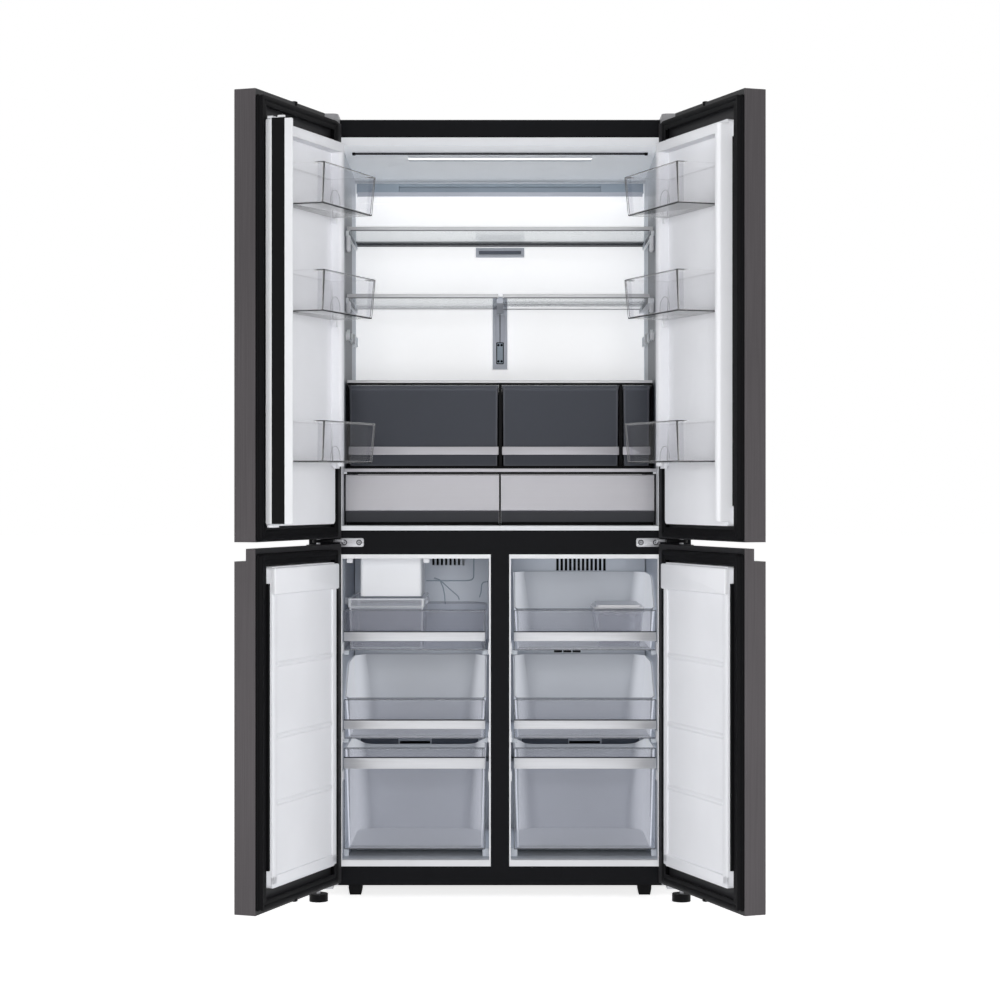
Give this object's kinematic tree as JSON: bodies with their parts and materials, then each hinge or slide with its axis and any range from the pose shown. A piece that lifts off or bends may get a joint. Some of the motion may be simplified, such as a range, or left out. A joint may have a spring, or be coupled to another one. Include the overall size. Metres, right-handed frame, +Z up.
{
  "type": "refrigerator",
  "caption": "Tall French-door refrigerator with freezer doors below, all open, showing glass shelves, crisper and pantry drawers, door bins, ice maker and freezer drawers",
  "frame": {"origin": "on the floor, midway across, in the plane of the cabinet's front", "axes": "+X to the viewer's right, +Y from the doors to the back, +Z up"},
  "size_m": [1.16, 1.1162, 1.853],
  "materials": {
    "cabinet_paint": "satin",
    "rear_paint": "matte",
    "foam": "matte",
    "black_paint": "satin",
    "white_lining": "gloss",
    "pale_plastic": "satin",
    "lamp_lens": "satin",
    "shelf_pane": "polished",
    "silver_trim": "satin",
    "black_plastic": "satin",
    "smoked_plastic": "gloss",
    "clear_plastic": "gloss",
    "frosted_plastic": "satin",
    "door_steel": "satin",
    "gasket_rubber": "matte",
    "mullion_white": "gloss",
    "hinge_grey": "satin",
    "hinge_steel": "satin",
    "foot_black": "matte",
    "compressor_paint": "gloss",
    "coil_metal": "satin",
    "fan_plastic": "satin",
    "motor_metal": "satin"
  },
  "bodies": {
    "cabinet": {"cabinet_shell": "cabinet_paint", "rear_cover": "rear_paint", "insulation_foam": "foam", "front_frame": "black_paint", "base_plinth": "black_paint", "fridge_liner": "white_lining", "ceiling_lamp": "lamp_lens", "duct_panels": "white_lining", "duct_fittings": "pale_plastic", "shelf_glass": "shelf_pane", "shelf_trims": "silver_trim", "crisper_frame": "black_plastic", "freezer_liners": "white_lining", "ice_maker": "white_lining", "top_hinges": "hinge_grey", "mid_hinges": "hinge_steel", "bottom_hinges": "hinge_steel", "levelling_feet": "foot_black", "support_legs": "foot_black", "compressor": "compressor_paint", "heat_exchangers": "coil_metal", "fan_motors": "motor_metal"},
    "upper_left_door": {"upper_left_door_skin": "door_steel", "upper_left_door_core": "black_plastic", "upper_left_door_liner": "white_lining", "upper_left_gasket": "gasket_rubber", "upper_left_bins": "clear_plastic"},
    "upper_right_door": {"upper_right_door_skin": "door_steel", "upper_right_door_core": "black_plastic", "upper_right_door_liner": "white_lining", "upper_right_gasket": "gasket_rubber", "upper_right_bins": "clear_plastic"},
    "lower_left_door": {"lower_left_door_skin": "door_steel", "lower_left_door_core": "black_plastic", "lower_left_door_liner": "white_lining", "lower_left_gasket": "gasket_rubber"},
    "lower_right_door": {"lower_right_door_skin": "door_steel", "lower_right_door_core": "black_plastic", "lower_right_door_liner": "white_lining", "lower_right_gasket": "gasket_rubber"},
    "flip_mullion": {"flip_mullion": "mullion_white"},
    "crisper_left": {"crisper_left_drawer": "smoked_plastic"},
    "crisper_right": {"crisper_right_drawer": "smoked_plastic"},
    "crisper_narrow": {"crisper_narrow_drawer": "smoked_plastic"},
    "pantry_left": {"pantry_left_drawer": "clear_plastic", "pantry_left_front": "silver_trim"},
    "pantry_right": {"pantry_right_drawer": "clear_plastic", "pantry_right_front": "silver_trim"},
    "freezer_left_top": {"freezer_left_top_drawer": "frosted_plastic", "ice_bucket": "clear_plastic"},
    "freezer_left_middle": {"freezer_left_middle_drawer": "frosted_plastic"},
    "freezer_left_low": {"freezer_left_low_drawer": "frosted_plastic"},
    "freezer_right_top": {"freezer_right_top_drawer": "frosted_plastic", "ice_box": "clear_plastic"},
    "freezer_right_middle": {"freezer_right_middle_drawer": "frosted_plastic"},
    "freezer_right_low": {"freezer_right_low_drawer": "frosted_plastic"},
    "sliding_shelf": {"sliding_shelf": "shelf_pane"},
    "condenser_fan": {"condenser_fan": "fan_plastic"},
    "evaporator_fan": {"evaporator_fan": "fan_plastic"}
  },
  "joints": [
    {"name": "upper_left_door_hinge", "type": "hinge", "parent": "cabinet", "child": "upper_left_door", "pos_m": [-0.427, -0.0615, 1.35], "axis": [0, 0, -1], "range_deg": [-110.3, 19.7]},
    {"name": "upper_right_door_hinge", "type": "hinge", "parent": "cabinet", "child": "upper_right_door", "pos_m": [0.427, -0.0615, 1.35], "axis": [0, 0, 1], "range_deg": [-110.3, 19.7]},
    {"name": "lower_left_door_hinge", "type": "hinge", "parent": "cabinet", "child": "lower_left_door", "pos_m": [-0.427, -0.0615, 0.44], "axis": [0, 0, -1], "range_deg": [-110.3, 19.7]},
    {"name": "lower_right_door_hinge", "type": "hinge", "parent": "cabinet", "child": "lower_right_door", "pos_m": [0.427, -0.0615, 0.44], "axis": [0, 0, 1], "range_deg": [-110.3, 19.7]},
    {"name": "flip_mullion_hinge", "type": "hinge", "parent": "upper_left_door", "child": "flip_mullion", "pos_m": [-0.4979, -0.4607, 1.3345], "axis": [0, 0, 1], "range_deg": [-90, 0]},
    {"name": "crisper_left_slide", "type": "slide", "parent": "cabinet", "child": "crisper_left", "axis": [0, -1, 0], "range_m": [0, 0.22]},
    {"name": "crisper_right_slide", "type": "slide", "parent": "cabinet", "child": "crisper_right", "axis": [0, -1, 0], "range_m": [0, 0.22]},
    {"name": "crisper_narrow_slide", "type": "slide", "parent": "cabinet", "child": "crisper_narrow", "axis": [0, -1, 0], "range_m": [0, 0.22]},
    {"name": "pantry_left_slide", "type": "slide", "parent": "cabinet", "child": "pantry_left", "axis": [0, -1, 0], "range_m": [0, 0.33]},
    {"name": "pantry_right_slide", "type": "slide", "parent": "cabinet", "child": "pantry_right", "axis": [0, -1, 0], "range_m": [0, 0.33]},
    {"name": "freezer_left_top_slide", "type": "slide", "parent": "cabinet", "child": "freezer_left_top", "axis": [0, -1, 0], "range_m": [0, 0.3]},
    {"name": "freezer_left_middle_slide", "type": "slide", "parent": "cabinet", "child": "freezer_left_middle", "axis": [0, -1, 0], "range_m": [0, 0.3]},
    {"name": "freezer_left_low_slide", "type": "slide", "parent": "cabinet", "child": "freezer_left_low", "axis": [0, -1, 0], "range_m": [0, 0.26]},
    {"name": "freezer_right_top_slide", "type": "slide", "parent": "cabinet", "child": "freezer_right_top", "axis": [0, -1, 0], "range_m": [0, 0.3]},
    {"name": "freezer_right_middle_slide", "type": "slide", "parent": "cabinet", "child": "freezer_right_middle", "axis": [0, -1, 0], "range_m": [0, 0.3]},
    {"name": "freezer_right_low_slide", "type": "slide", "parent": "cabinet", "child": "freezer_right_low", "axis": [0, -1, 0], "range_m": [0, 0.26]},
    {"name": "sliding_shelf_slide", "type": "slide", "parent": "cabinet", "child": "sliding_shelf", "axis": [0, 1, 0], "range_m": [0, 0.11]},
    {"name": "condenser_fan_spin", "type": "hinge", "parent": "cabinet", "child": "condenser_fan", "pos_m": [-0.09, 0.519, 0.13], "axis": [0, 1, 0], "continuous": true},
    {"name": "evaporator_fan_spin", "type": "hinge", "parent": "cabinet", "child": "evaporator_fan", "pos_m": [-0.2, 0.476, 0.69], "axis": [0, 1, 0], "continuous": true}
  ]
}
